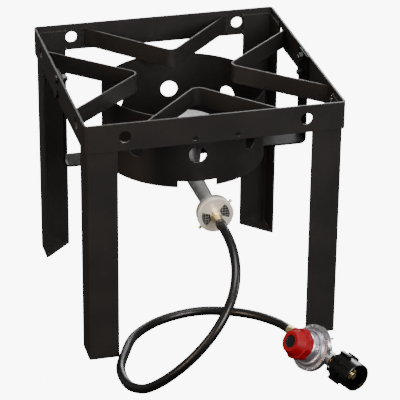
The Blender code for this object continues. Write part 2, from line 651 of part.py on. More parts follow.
# Bonnet: stepped cover clamped on the body's flange, threaded inside its neck
bonnet = turned(
    "regulator_bonnet",
    [(0.0125, 0.0490), (0.0160, 0.0490), (0.0165, 0.0485), (0.0165, 0.0340), (0.0215, 0.0335),
     (0.0235, 0.0320), (0.0240, 0.0225), (0.0290, 0.0205), (0.0300, 0.0165), (FLANGE_RADIUS, 0.0155),
     (FLANGE_RADIUS, 0.0128), (0.0310, 0.0128), (0.0270, 0.0150), (0.0215, 0.0180), (0.0210, 0.0290),
     (0.0125, 0.0310)], 40, die_cast, regulator, closed=True)
crimp = turned(
    "crimp_ring",
    [(crimp_out, 0.0167), (crimp_out, 0.0086), (0.0333, 0.0076),
     (0.0333, 0.0083), (FLANGE_RADIUS + 0.0004, 0.0089), (FLANGE_RADIUS + 0.0004, 0.0159),
     (0.0330, 0.0164), (0.0330, 0.0173)], 48, die_cast, regulator, closed=True)
CRIMP_TEETH = 20
for number in range(CRIMP_TEETH):
    tooth = block("tooth_gap", (-0.0011, -0.0022, -0.0012), (0.0011, 0.0022, 0.0012), parent=regulator)
    tooth.matrix_basis = (Matrix.Rotation(math.tau * (number + 0.5) / CRIMP_TEETH, 4, "Z")
                          @ Matrix.Translation((0, 0.0338, 0.0175)))
    combine(crimp, tooth)
vent = turned("vent_stub", [(0, 0.0425), (0.0016, 0.0425), (0.0020, 0.0420), (0.0020, 0.0400),
                            (0.0014, 0.0398), (0.0014, FLANGE_RADIUS + 0.0017), (0, FLANGE_RADIUS + 0.0017)],
              16, steel, regulator)
vent.matrix_basis = (Matrix.Translation((0, 0, 0.0105)) @ Matrix.Rotation(math.radians(48), 4, "Z")
                     @ Matrix.Rotation(math.pi / 2, 4, "Y"))

# Adjusting screw, knob and the knob's round insert turn together
turned("adjusting_screw",
       [(0, 0.0580), (0.0040, 0.0580), (0.0040, 0.0493), (0.0105, 0.0490), (0.0120, 0.0485),
        (0.0120, seat_low + 0.0050), (0.0060, seat_low + 0.0033), (0, seat_low + 0.0033)],
       24, steel, regulator)
LOBES = 8


def lobed(radius, depth, steps=48):
    """A round outline with shallow finger grips."""
    points = []
    for number in range(steps):
        angle = math.tau * number / steps
        grip = radius - depth * (0.5 - 0.5 * math.cos(LOBES * angle))
        points.append((grip * math.cos(angle), grip * math.sin(angle)))
    return points


knob = outline("adjusting_knob", [lobed(0.0255, 0.0022)], 0.0355, 0.0500, mat=red_plastic, parent=regulator)
soften(knob, 0.0015, 2, 50)
front_tier = turned("front_tier", [(0, KNOB_FRONT), (0.0155, KNOB_FRONT), (0.0178, KNOB_FRONT - 0.0020),
                                   (0.0200, 0.0520), (0.0225, 0.0490), (0, 0.0490)], 48, parent=regulator)
combine(knob, front_tier, "UNION")
combine(knob, rod("hollow", 0.0172, 0.0345, 0.0520, "Z", parent=regulator))
combine(knob, rod("hole", 0.0040 + GAP, 0.0500, 0.0600, "Z", 16, parent=regulator))
combine(knob, rod("hole", 0.0100 + GAP, 0.0590, 0.0650, "Z", 32, parent=regulator))
turned("knob_cap", [(0, 0.0615), (0.0085, 0.0618), (0.0100, 0.0628), (0.0100, 0.0593), (0, 0.0593)],
       32, dark_insert, regulator)

# Brass outlet: hex and ferrule crimped on the hose
outlet = turned(
    "outlet_fitting",
    [(0.0025, 0.0260), (0.0050, 0.0260), (0.0050, 0.0423), (0.0060, 0.0423), (0.0075, 0.0425),
     (0.0075, 0.0500), (0.0085, 0.0510), (0.0085, 0.0560), (0.0080, 0.0566), (0.0085, 0.0572),
     (0.0085, 0.0700), (0.0078, OUTLET_END), (0.0025, OUTLET_END)][::-1], 24, brass, regulator, closed=True)
outlet.rotation_euler = (0, -math.pi / 2, 0)

# Brass inlet: threaded shank in the body, a collar that holds the nut, a round nose
nipple = turned(
    "inlet_nipple",
    [(0.0020, 0.0915), (0.0042, 0.0915), (0.0056, 0.0895), (0.0060, 0.0860), (0.0060, 0.0640),
     (0.0092, 0.0630), (0.0092, 0.0600), (0.0072, 0.0594), (0.0072, 0.0480), (0.0095, 0.0470),
     (0.0095, 0.0423), (0.0060, 0.0423), (0.0060, 0.0270), (0.0020, 0.0270)], 28, brass, regulator,
    closed=True)
nipple.rotation_euler = (0, math.pi / 2, 0)
seal = turned("nipple_seal", [(0.0063, 0.0820), (0.0085, 0.0815), (0.0090, 0.0790), (0.0090, 0.0680),
                              (0.0063, 0.0680)], 28, seal_rubber, regulator, closed=True)
seal.rotation_euler = (0, math.pi / 2, 0)

# Hand nut: ribbed at the back, a plain round mouth in front, free to turn
NUT_LUGS = 8
nut_front = NUT_BACK + NUT_LENGTH
coupling = turned(
    "coupling_nut",
    [(0.0195, nut_front), (0.0212, nut_front), (0.0222, nut_front - 0.0010), (0.0222, NUT_BACK + 0.0200),
     (0.0222, NUT_BACK + 0.0030), (0.0200, NUT_BACK), (0.0078, NUT_BACK), (0.0078, NUT_BACK + 0.0055),
     (0.0120, NUT_BACK + 0.0060), (0.0120, NUT_BACK + 0.0140), (0.0185, NUT_BACK + 0.0150)],
    48, nut_plastic, regulator, closed=True)
coupling.rotation_euler = (0, math.pi / 2, 0)
for number in range(NUT_LUGS):
    lug = block("lug", (-0.0030, 0.0205, NUT_BACK + 0.0015), (0.0030, 0.0257, NUT_BACK + 0.0230),
                parent=regulator)
    lug.matrix_basis = (Matrix.Rotation(math.pi / 2, 4, "Y")
                        @ Matrix.Rotation(math.tau * (number + 0.5) / NUT_LUGS, 4, "Z")
                        @ lug.matrix_basis)
    combine(coupling, lug, "UNION")
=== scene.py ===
"""The propane burner stand's looks: welded steel frame, cast burner, hose and regulator."""

import json
import math

import bmesh
import bpy
import numpy as np
from mathutils import Matrix, Vector

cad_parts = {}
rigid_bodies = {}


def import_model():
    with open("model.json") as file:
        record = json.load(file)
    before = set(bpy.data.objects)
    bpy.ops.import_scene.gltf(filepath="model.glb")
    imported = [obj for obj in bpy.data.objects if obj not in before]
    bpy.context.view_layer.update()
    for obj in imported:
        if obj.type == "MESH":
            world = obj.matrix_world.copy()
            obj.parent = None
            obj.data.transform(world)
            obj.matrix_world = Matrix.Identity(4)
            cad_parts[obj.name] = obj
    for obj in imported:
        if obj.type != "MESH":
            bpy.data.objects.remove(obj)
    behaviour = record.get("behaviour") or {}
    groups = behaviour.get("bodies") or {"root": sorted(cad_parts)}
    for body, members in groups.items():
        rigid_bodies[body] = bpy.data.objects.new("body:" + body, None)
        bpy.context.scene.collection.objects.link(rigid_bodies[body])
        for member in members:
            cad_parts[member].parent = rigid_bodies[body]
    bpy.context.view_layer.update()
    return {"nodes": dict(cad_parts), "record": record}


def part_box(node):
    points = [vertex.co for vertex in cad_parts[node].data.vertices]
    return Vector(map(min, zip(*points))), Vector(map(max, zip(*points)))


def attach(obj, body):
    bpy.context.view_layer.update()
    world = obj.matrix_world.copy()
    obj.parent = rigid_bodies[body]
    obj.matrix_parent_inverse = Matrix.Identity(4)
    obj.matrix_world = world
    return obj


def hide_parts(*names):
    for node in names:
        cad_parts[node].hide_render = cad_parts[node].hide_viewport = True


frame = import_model()
rides_on = {node: body for body, nodes in frame["record"]["behaviour"]["bodies"].items() for node in nodes}


# Camera ----------------------------------------------------------------------
# A long lens, a little above the stand and to the left of its front.

AZIMUTH = math.radians(-14.68)
ELEVATION = math.radians(26.44)
ROLL = math.radians(0.56)
DISTANCE = 3.511
TARGET = Vector((0.0055, -0.0861, 0.2007))
LENS = 199.5
FARTHEST_SEEN = 50

bpy.ops.object.select_all(action="DESELECT")
outward = Vector((math.sin(AZIMUTH) * math.cos(ELEVATION), -math.cos(AZIMUTH) * math.cos(ELEVATION),
                  math.sin(ELEVATION)))
bpy.ops.object.camera_add(location=TARGET + outward * DISTANCE)
camera = bpy.context.object
camera.name = "camera"
camera.rotation_mode = "QUATERNION"
camera.rotation_quaternion = (
    (-outward).to_track_quat("-Z", "Y") @ Matrix.Rotation(ROLL, 4, "Z").to_quaternion())
camera.data.lens = LENS
camera.data.clip_end = FARTHEST_SEEN
bpy.context.scene.camera = camera


# Studio ----------------------------------------------------------------------
# A white floor and backdrop that only the camera sees, so the stand is lit by the
# soft lamps alone: one in front, one overhead, and strips behind and beside it.

SURROUND_STRENGTH = 0.34
SURROUND_BELOW = 0.12
FADE_FROM, FADE_TO = -0.5, 0.4
LAMPS_AIM_AT = Vector((0, 0, 0.2))
WHITE_STRENGTH = 9
FLOOR_SIZE = 14
BACKDROP_RADIUS = 12

world = bpy.data.worlds.new("surround")
bpy.context.scene.world = world
world.use_nodes = True
sky = world.node_tree.nodes["Background"]
sky.inputs["Strength"].default_value = SURROUND_STRENGTH
direction = world.node_tree.nodes.new("ShaderNodeTexCoord")
split = world.node_tree.nodes.new("ShaderNodeSeparateXYZ")
shade = world.node_tree.nodes.new("ShaderNodeMapRange")
shade.inputs["From Min"].default_value = FADE_FROM
shade.inputs["From Max"].default_value = FADE_TO
shade.inputs["To Min"].default_value = SURROUND_BELOW
world.node_tree.links.new(direction.outputs["Generated"], split.inputs["Vector"])
world.node_tree.links.new(split.outputs["Z"], shade.inputs["Value"])
world.node_tree.links.new(shade.outputs["Result"], sky.inputs["Color"])

LAMPS = [
    # name, place, width, depth, watts, colour
    ("front", (0.6, -3.0, 1.7), 1.6, 1.4, 135, (1.0, 0.97, 0.94)),
    ("overhead", (0.1, -0.2, 2.4), 1.2, 1.2, 52, (1.0, 1.0, 1.0)),
    ("strip_behind", (0.3, 3.0, 1.7), 3.2, 0.6, 34, (1.0, 1.0, 1.0)),
    ("back_fill", (1.6, 2.8, 1.1), 1.2, 1.2, 45, (1.0, 1.0, 1.0)),
    ("strip_right", (2.3, -0.5, 0.9), 0.4, 1.6, 22, (1.0, 0.96, 0.92)),
    ("strip_left", (-2.2, -0.9, 0.9), 0.3, 1.6, 34, (1.0, 0.74, 0.54)),
]
for name, place, width, depth, watts, colour in LAMPS:
    bpy.ops.object.light_add(type="AREA", location=place)
    lamp = bpy.context.object
    lamp.name = name
    lamp.data.shape = "RECTANGLE"
    lamp.data.size = width
    lamp.data.size_y = depth
    lamp.data.energy = watts
    lamp.data.color = colour
    lamp.rotation_euler = (LAMPS_AIM_AT - Vector(place)).to_track_quat("-Z", "Y").to_euler()

white = bpy.data.materials.new("studio_white")
white.use_nodes = True
white_shader = white.node_tree.nodes["Principled BSDF"]
white_shader.inputs["Base Color"].default_value = (0, 0, 0, 1)
white_shader.inputs["Specular IOR Level"].default_value = 0
white_shader.inputs["Emission Color"].default_value = (1, 1, 1, 1)
white_shader.inputs["Emission Strength"].default_value = WHITE_STRENGTH
bpy.ops.mesh.primitive_plane_add(size=FLOOR_SIZE)
floor = bpy.context.object
floor.name = "studio_floor"
bpy.ops.mesh.primitive_ico_sphere_add(subdivisions=4, radius=BACKDROP_RADIUS)
backdrop = bpy.context.object
backdrop.name = "studio_backdrop"
for stage in (floor, backdrop):
    stage.data.materials.append(white)
    stage.visible_diffuse = False
    stage.visible_glossy = False
    stage.visible_transmission = False
    stage.visible_shadow = False


# Hose ------------------------------------------------------------------------
# Black nitrile gas hose, 14.6 mm across, with a smooth extruded skin. It leaves
# the burner straight, drops to the ground and loops back to the regulator.

class Value:
    """A node socket whose arithmetic adds Math nodes."""

    def __init__(self, finish, socket):
        self.finish = finish
        self.socket = socket

    def maths(self, operation, *values):
        return self.finish.node("ShaderNodeMath", {"operation": operation}, *values)

    def __add__(self, other):
        return self.maths("ADD", self, other)

    __radd__ = __add__

    def __mul__(self, other):
        return self.maths("MULTIPLY", self, other)

    def __sub__(self, other):
        return self.maths("SUBTRACT", self, other)

    def __rsub__(self, other):
        return self.maths("SUBTRACT", other, self)

    def __pow__(self, other):
        return self.maths("POWER", self.maths("ABSOLUTE", self), other)


class Finish:
    """One material: a Principled shader, its plain values, and the nodes that vary it."""

    def __init__(self, name, colour, roughness, metallic=0.0, **sockets):
        self.material = bpy.data.materials.new(name)
        self.material.use_nodes = True
        self.tree = self.material.node_tree
        self.shader = self.tree.nodes["Principled BSDF"]
        self.shader.inputs["Base Color"].default_value = (*colour, 1)
        self.shader.inputs["Roughness"].default_value = roughness
        self.shader.inputs["Metallic"].default_value = metallic
        for socket, value in sockets.items():
            self.shader.inputs[socket.replace("_", " ")].default_value = value
        place = self.tree.nodes.new("ShaderNodeTexCoord")
        self.place = Value(self, place.outputs["Object"])

    def node(self, kind, settings, *values, output=0, **named):
        """Adds one node: its settings, then the values or links of its sockets."""
        made = self.tree.nodes.new(kind)
        for setting, value in settings.items():
            setattr(made, setting, value)
        for key, value in list(enumerate(values)) + [(k.replace("_", " "), v) for k, v in named.items()]:
            if isinstance(value, Value):
                self.tree.links.new(value.socket, made.inputs[key])
            else:
                made.inputs[key].default_value = value
        return Value(self, made.outputs[output])

    def noise(self, scale, detail=2.0, roughness=0.5, stretch=None):
        place = self.place
        if stretch:
            place = self.node("ShaderNodeMapping", {}, Vector=place, Scale=stretch)
        return self.node("ShaderNodeTexNoise", {}, Vector=place, Scale=scale, Detail=detail,
                         Roughness=roughness)

    def ramp(self, value, low, high):
        """0 below low, 1 above high, and smooth between them."""
        return self.node("ShaderNodeMapRange", {"interpolation_type": "SMOOTHSTEP"}, value,
                         From_Min=low, From_Max=high)

    def mix(self, factor, first, second):
        """Mixes two colours."""
        made = self.tree.nodes.new("ShaderNodeMix")
        made.data_type = "RGBA"
        for socket, value in (("Factor_Float", factor), ("A_Color", first), ("B_Color", second)):
            held = next(s for s in made.inputs if s.identifier == socket)
            if isinstance(value, Value):
                self.tree.links.new(value.socket, held)
            else:
                held.default_value = (*value, 1) if socket != "Factor_Float" else value
        return Value(self, next(s for s in made.outputs if s.identifier == "Result_Color"))

    def feed(self, socket, value):
        self.tree.links.new(value.socket, self.shader.inputs[socket])

    def bump(self, height, depth, strength=1.0):
        """Raises the surface by height times depth in metres."""
        raised = self.node("ShaderNodeBump", {}, Strength=strength, Distance=depth, Height=height)
        self.feed("Normal", raised)


HOSE_RADIUS = 0.0073
HOSE_LEAVES = 0.0380
HOSE_STRAIGHT = 0.005
HOSE_POINTS = 220
FINE_POINTS = 1200
HOSE_ROUTE = [
    (0.0008, -0.2966, 0.2238), (-0.0045, -0.3387, 0.2075), (-0.0163, -0.3690, 0.1865),
    (-0.0351, -0.3897, 0.1615), (-0.0568, -0.3997, 0.1355), (-0.0836, -0.3997, 0.1045),
    (-0.1080, -0.3892, 0.0757), (-0.1303, -0.3690, 0.0472), (-0.1475, -0.3422, 0.0249),
    (-0.1610, -0.3019, 0.0110), (-0.1610, -0.2498, 0.0078), (-0.1428, -0.2020, 0.0078),
    (-0.1190, -0.1575, 0.0080), (-0.0803, -0.1254, 0.0090), (-0.0351, -0.1122, 0.0120),
    (0.0062, -0.1163, 0.0160), (0.0509, -0.1391, 0.0205), (0.0874, -0.1750, 0.0255),
]
REGULATOR_AT = Vector((0.1406, -0.2959, 0.0277))
REGULATOR_INLET = Vector((0.351, -0.936, -0.022))
REGULATOR_BONNET = Vector((-0.797, -0.311, 0.517))
OUTLET_END = 0.0720
GAP = 0.0003

inlet_way = REGULATOR_INLET.normalized()
bonnet_way = (REGULATOR_BONNET - inlet_way * REGULATOR_BONNET.dot(inlet_way)).normalized()
across_way = bonnet_way.cross(inlet_way)
regulator_frame = Matrix.Translation(REGULATOR_AT) @ Matrix(
    (inlet_way, across_way, bonnet_way)).transposed().to_4x4()
shutter_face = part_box("air_shutter")[0][1]
venturi_height = (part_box("air_shutter")[0][2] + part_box("air_shutter")[1][2]) / 2
hose_start = Vector((0, shutter_face - HOSE_LEAVES - GAP, venturi_height))
hose_end = regulator_frame @ Vector((-OUTLET_END - GAP, 0, 0))


def smooth_route(points, start_way, end_way, count):
    """Evenly spread points on a smooth curve through the given ones."""
    knots = np.array([tuple(point) for point in points])
    lengths = np.concatenate([[0], np.cumsum(np.linalg.norm(np.diff(knots, axis=0), axis=1))])
    slopes = np.zeros_like(knots)
    slopes[1:-1] = (knots[2:] - knots[:-2]) / (lengths[2:] - lengths[:-2])[:, None]
    slopes[0] = start_way
    slopes[-1] = end_way
    fine = []
    for distance in np.linspace(0, lengths[-1], FINE_POINTS):
        i = min(int(np.searchsorted(lengths, distance, "right")) - 1, len(knots) - 2)
        span = lengths[i + 1] - lengths[i]
        t = (distance - lengths[i]) / span
        fine.append((2 * t**3 - 3 * t**2 + 1) * knots[i] + (t**3 - 2 * t**2 + t) * span * slopes[i]
                    + (3 * t**2 - 2 * t**3) * knots[i + 1] + (t**3 - t**2) * span * slopes[i + 1])
    fine = np.array(fine)
    along = np.concatenate([[0], np.cumsum(np.linalg.norm(np.diff(fine, axis=0), axis=1))])
    even = np.linspace(0, along[-1], count)
    return [tuple(np.interp(distance, along, fine[:, k]) for k in range(3)) for distance in even]


straight_start = hose_start + Vector((0, -HOSE_STRAIGHT, 0))
straight_end = hose_end - inlet_way * HOSE_STRAIGHT
route = smooth_route([straight_start] + HOSE_ROUTE + [straight_end], (0, -1, 0), tuple(inlet_way),
                     HOSE_POINTS)
route = [tuple(hose_start)] + route + [tuple(hose_end)]
hose_curve = bpy.data.curves.new("gas_hose", "CURVE")
hose_curve.dimensions = "3D"
hose_curve.bevel_depth = HOSE_RADIUS
hose_curve.bevel_resolution = 8
hose_curve.use_fill_caps = True
hose_spline = hose_curve.splines.new("POLY")
hose_spline.points.add(len(route) - 1)
for point, place in zip(hose_spline.points, route):
    point.co = (*place, 1)
hose = bpy.data.objects.new("gas_hose", hose_curve)
bpy.context.scene.collection.objects.link(hose)

rubber = Finish("hose_rubber", (0.003, 0.003, 0.003), 0.30, Specular_IOR_Level=0.35)
bloom = rubber.noise(60, 4)
skin = rubber.noise(900, 3)
rubber.feed("Roughness", 0.25 + bloom * 0.16)
rubber.feed("Base Color", rubber.mix(bloom, (0.0022, 0.0021, 0.0021), (0.0050, 0.0047, 0.0045)))
rubber.bump(skin, 0.00012, 0.35)
hose_curve.materials.append(rubber.material)
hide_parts("hose")
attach(hose, rides_on["hose"])


# Steel finishes --------------------------------------------------------------
# Black powder coat over mild steel: a fine orange peel, a soft sheen and slightly
# warmer clouds. The helpers below stand finished pieces in for the CAD nodes.

MERGE = 0.00001
FLAT_WITHIN = math.radians(0.6)

def powder_coat(name, colour, warm, sheen=0.3):
    coat = Finish(name, colour, 0.45, Specular_IOR_Level=sheen)
    cloud = coat.noise(14, 4)
    peel = coat.noise(520, 3, 0.6)
    grit = coat.noise(2400, 2)
    coat.feed("Base Color", coat.mix(coat.ramp(cloud, 0.35, 0.7), colour, warm))
    coat.feed("Roughness", 0.36 + cloud * 0.14 + peel * 0.06)
    coat.bump(peel + grit * 0.25, 0.00022, 0.45)
    return coat.material


frame_coat = powder_coat("frame_powder_coat", (0.0100, 0.0090, 0.0086), (0.0125, 0.0111, 0.0104))


def only(piece):
    """Makes one piece the selected, active one."""
    bpy.ops.object.select_all(action="DESELECT")
    piece.select_set(True)
    bpy.context.view_layer.objects.active = piece


def own(piece, finish, body):
    """Gives a new piece its finish and body."""
    piece.data.materials.clear()
    piece.data.materials.append(finish)
    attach(piece, body)


def dress(node, finish, rounding=0.0, segments=2, angle=30):
    """Stands a merged, smooth copy with rounded edges in for a CAD node."""
    source = frame["nodes"][node]
    piece = bpy.data.objects.new(f"{node}_finished", source.data.copy())
    piece.data.transform(source.matrix_world)
    bpy.context.scene.collection.objects.link(piece)
    only(piece)
    bpy.ops.mesh.customdata_custom_splitnormals_clear()
    bpy.ops.object.mode_set(mode="EDIT")
    bpy.ops.mesh.select_all(action="SELECT")
    bpy.ops.mesh.remove_doubles(threshold=MERGE)
    bpy.ops.mesh.dissolve_limited(angle_limit=FLAT_WITHIN)
    bpy.ops.object.mode_set(mode="OBJECT")
    bpy.ops.object.shade_smooth_by_angle(angle=math.radians(angle))
    if rounding:
        bevel = piece.modifiers.new("edges", "BEVEL")
        bevel.width = rounding
        bevel.segments = segments
        bevel.limit_method = "ANGLE"
        bevel.angle_limit = math.radians(angle)
        bevel.use_clamp_overlap = True
        bevel.harden_normals = True
        bpy.ops.object.modifier_apply(modifier="edges")
    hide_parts(node)
    own(piece, finish, rides_on[node])


def finish_cad(node, finish, rounding=0.0003, segments=2, angle=30):
    """Gives a CAD node its finish and rounded edges where it stands."""
    piece = frame["nodes"][node]
    piece.data.materials.clear()
    piece.data.materials.append(finish)
    weld = piece.modifiers.new("merged", "WELD")
    weld.merge_threshold = MERGE
    bevel = piece.modifiers.new("edges", "BEVEL")
    bevel.width = rounding
    bevel.segments = segments
    bevel.limit_method = "ANGLE"
    bevel.angle_limit = math.radians(angle)
    return piece


# Frame -----------------------------------------------------------------------
# Rim band of 1 3/4 inch flat bar, four legs of angle iron inside its corners and
# a small plate across the foot of each leg, all welded and then coated together.

dress("rim_band", frame_coat, 0.0006)
for end in ("front", "back"):
    for side in ("left", "right"):
        dress(f"leg_{end}_{side}", frame_coat, 0.0006)
        dress(f"foot_plate_{end}_{side}", frame_coat, 0.0005)

# Pot supports ----------------------------------------------------------------
# Four flat bars on edge, each bent to a V that points at the middle, with both
# ends welded to the inside of the band.

for side in ("front", "right", "back", "left"):
    dress(f"pot_support_{side}", frame_coat, 0.0005)

# Welds -----------------------------------------------------------------------
# Hand-laid weld beads, coated over with the frame: along the band's lower edge on
# each leg, at the flanges inside the band, at the support ends and the foot plates.

BEAD_STEP = 0.0017
RIPPLE_RADIUS = 0.0015
BAND_INNER = 0.2000
LEG_FACE = 0.1997
LEG_FLANGE = 0.0480
band_low, band_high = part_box("rim_band")[0][2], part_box("rim_band")[1][2]
support_low, support_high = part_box("pot_support_front")[0][2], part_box("pot_support_front")[1][2]
SUPPORT_END = 0.1200
PROUD = 0.0004
FLANGE_INSET = 0.0006
EDGE_CLEAR = 0.0003
CORNER_CLEAR = 0.004
TACK_HEIGHTS = (0.3580, 0.3866)
TACK_LENGTH = 0.0055
FOOT_BEAD_INSET = 0.0045
FOOT_BEAD_END = 0.006
FOOT_BEAD_HEIGHT = 0.0038
SUPPORT_HALF = 0.0030
SUPPORT_BEAD_SHORT = 0.001
BAND_SEAM_AT = 0.001
BAND_SEAM_PROUD = 0.0002
BAND_SEAM_SHORT = 0.002
# How wide each kind of bead is, as a share of one ripple.
FULL, TACK, FOOT, SUPPORT, SEAM = 1.0, 1.7, 0.9, 0.85, 0.6
FLATTENED = 0.3
RIPPLE_WANDER = 0.00010

beads = []
for sx in (-1, 1):
    for sy in (-1, 1):
        corner = LEG_FACE + PROUD
        inner = LEG_FACE - LEG_FLANGE
        # Under the band on both faces of the leg.
        beads.append(((sx * (LEG_FACE - CORNER_CLEAR), sy * corner, band_low),
                      (sx * inner, sy * corner, band_low), FULL))
        beads.append(((sx * corner, sy * (LEG_FACE - CORNER_CLEAR), band_low),
                      (sx * corner, sy * inner, band_low), FULL))
        # Two tacks at each flange's edge inside the band.
        edge_at = inner - EDGE_CLEAR
        flange_at = LEG_FACE - FLANGE_INSET
        for tack_low in TACK_HEIGHTS:
            beads.append(((sx * edge_at, sy * flange_at, tack_low),
                          (sx * edge_at, sy * flange_at, tack_low + TACK_LENGTH), TACK))
            beads.append(((sx * flange_at, sy * edge_at, tack_low),
                          (sx * flange_at, sy * edge_at, tack_low + TACK_LENGTH), TACK))
        # Along the inside of the foot plate.
        foot_at = sx * (LEG_FACE - FOOT_BEAD_INSET)
        beads.append(((foot_at, sy * inner, FOOT_BEAD_HEIGHT),
                      (foot_at, sy * (LEG_FACE - FOOT_BEAD_END), FOOT_BEAD_HEIGHT), FOOT))
bead_at = BAND_INNER - PROUD
bead_low = support_low + SUPPORT_BEAD_SHORT
bead_high = support_high - SUPPORT_BEAD_SHORT
for side in (-1, 1):
    for turn in (-1, 1):
        for edge in (-1, 1):
            end = turn * SUPPORT_END + edge * SUPPORT_HALF
            beads.append(((end, side * bead_at, bead_low), (end, side * bead_at, bead_high), SUPPORT))
            beads.append(((side * bead_at, end, bead_low), (side * bead_at, end, bead_high), SUPPORT))
beads.append(((BAND_SEAM_AT, BAND_INNER - BAND_SEAM_PROUD, band_low + BAND_SEAM_SHORT),
              (BAND_SEAM_AT, BAND_INNER - BAND_SEAM_PROUD, band_high - BAND_SEAM_SHORT), SEAM))

wobble = np.random.default_rng(7)
runs = []
for start, end, width in beads:
    start, end = Vector(start), Vector(end)
    count = max(3, round((end - start).length / BEAD_STEP) + 1)
    bpy.ops.object.select_all(action="DESELECT")
    bpy.ops.mesh.primitive_ico_sphere_add(subdivisions=2, radius=RIPPLE_RADIUS * width, location=(0, 0, 0))
    ripple = bpy.context.object
    bead_way = (end - start).normalized()
    bpy.ops.transform.resize(value=tuple(1 - FLATTENED * abs(part) for part in bead_way))
    bpy.ops.object.transform_apply(location=True, rotation=True, scale=True)
    laid = ripple.modifiers.new("laid", "ARRAY")
    laid.count = count
    laid.use_relative_offset = False
    laid.use_constant_offset = True
    laid.constant_offset_displace = (end - start) / (count - 1)
    bpy.ops.object.modifier_apply(modifier="laid")
    shift = wobble.normal(0, RIPPLE_WANDER * width, (count, 3))
    each = len(ripple.data.vertices) // count
    for vertex in ripple.data.vertices:
        vertex.co += start + Vector(shift[vertex.index // each])
    runs.append(ripple)
bpy.ops.object.select_all(action="DESELECT")
for run in runs:
    run.select_set(True)
bpy.context.view_layer.objects.active = runs[0]
bpy.ops.object.join()
welds = bpy.context.object
welds.name = "frame_welds"
bpy.ops.object.shade_smooth()
own(welds, frame_coat, "stand")

# Windshield ------------------------------------------------------------------
# A strip rolled to a drum, punched with round air holes and notched below for
# the strap and the burner's tube, welded under the pot supports.

shield_coat = powder_coat("shield_powder_coat", (0.0065, 0.0060, 0.0060), (0.0100, 0.0086, 0.0078))
dress("windshield", shield_coat, 0.0004)

# Burner strap ----------------------------------------------------------------
# Flat bar bent to a wide U that carries the burner, with two screws each side.

# Painted shade: a darker copy of the frame's powder coat, with less sheen, in place of the shade the strap
# sits in under the windshield.
strap_shaded_coat = powder_coat("strap_powder_coat", (0.0045, 0.0041, 0.0040), (0.0065, 0.0058, 0.0054), 0.06)
dress("burner_strap", strap_shaded_coat, 0.0006)
screw_black = Finish("black_screws", (0.012, 0.012, 0.012), 0.25, Specular_IOR_Level=0.35)
screw_wear = screw_black.noise(700, 3)
screw_black.feed("Base Color", screw_black.mix(screw_black.ramp(screw_wear, 0.55, 0.75),
                                               (0.004, 0.004, 0.004), (0.020, 0.019, 0.018)))
screw_black.feed("Roughness", 0.18 + screw_wear * 0.2)
for side in ("left", "right"):
    for level in ("lower", "upper"):
        dress(f"strap_bolt_{side}_{level}", screw_black.material, 0.0002)
        dress(f"strap_nut_{side}_{level}", screw_black.material, 0.0004)

# Burner ----------------------------------------------------------------------
# Sand-cast aluminium, one piece from bowl to bell, with painted shade darkening the
# inside of the bell, a blasted cap on top and a bolt and washer below.

# Painted shade: inside these radii and depths the bell's throat is coloured near black, rough and not
# metallic, in place of the shade deep inside it.
PAINTED_SHADE_RADIUS, PAINTED_SHADE_FADE_RADIUS = 0.0245, 0.0255
PAINTED_SHADE_FROM, PAINTED_SHADE_FADE_FROM = -0.190, -0.180

cast = Finish("cast_burner", (0.62, 0.62, 0.62), 0.5, 0.85)
grain = cast.noise(1500, 4, 0.65)
stain = cast.noise(40, 4)
pits = cast.ramp(cast.noise(380, 4, 0.7), 0.40, 0.66)
skin_metal = cast.mix(cast.ramp(stain, 0.35, 0.75), (0.62, 0.62, 0.63), (0.40, 0.39, 0.375))
metal = cast.mix(pits * 0.55, skin_metal, (0.26, 0.255, 0.25))
where = cast.node("ShaderNodeSeparateXYZ", {}, cast.place)
across = Value(cast, where.socket.node.outputs["X"])
along = Value(cast, where.socket.node.outputs["Y"])
height = Value(cast, where.socket.node.outputs["Z"])
from_axis = (across * across + (height - venturi_height) ** 2) ** 0.5
# Painted shade mask: the throat of the bell, fading out at its wall and along its length; it darkens the
# colour and dulls the metal there.
bell_painted_shade_mask = (1 - cast.ramp(from_axis, PAINTED_SHADE_RADIUS, PAINTED_SHADE_FADE_RADIUS)) * (
    1 - cast.ramp(along, PAINTED_SHADE_FROM, PAINTED_SHADE_FADE_FROM))
painted_bell_shade = bell_painted_shade_mask * 0.97
cast.feed("Base Color", cast.mix(painted_bell_shade, metal, (0.004, 0.004, 0.004)))
cast.feed("Roughness", 0.38 + grain * 0.22 + bell_painted_shade_mask * 0.3)
cast.feed("Metallic", 0.85 - bell_painted_shade_mask * 0.85)
cast.bump(grain, 0.0004, 0.6)
dress("burner_casting", cast.material, 0.0004, 2, 40)

cap_metal = Finish("blasted_cap", (0.86, 0.86, 0.87), 0.42, 0.55)
cap_grain = cap_metal.noise(1300, 4, 0.7)
speck = cap_metal.ramp(cap_metal.noise(420, 3, 0.7), 0.42, 0.62)
cap_metal.feed("Base Color", cap_metal.mix(speck, (0.98, 0.98, 0.99), (0.62, 0.62, 0.64)))
cap_metal.feed("Roughness", 0.30 + cap_grain * 0.25)
cap_metal.bump(cap_grain, 0.0006, 0.8)
dress("burner_cap", cap_metal.material, 0.0, 2, 40)
bright_steel = Finish("bright_steel", (0.62, 0.62, 0.63), 0.3, 1.0)
steel_cloud = bright_steel.noise(300, 3)
bright_steel.feed("Base Color", bright_steel.mix(steel_cloud, (0.80, 0.80, 0.82), (0.46, 0.46, 0.48)))
bright_steel.feed("Roughness", 0.16 + steel_cloud * 0.2)
dress("burner_washer", bright_steel.material, 0.0002)
dress("burner_bolt", bright_steel.material, 0.0003)

# Air shutter -----------------------------------------------------------------
# A pressed zinc-plated cup that turns on the bell, two brass screws in its lip,
# and a wire screen behind its windows.

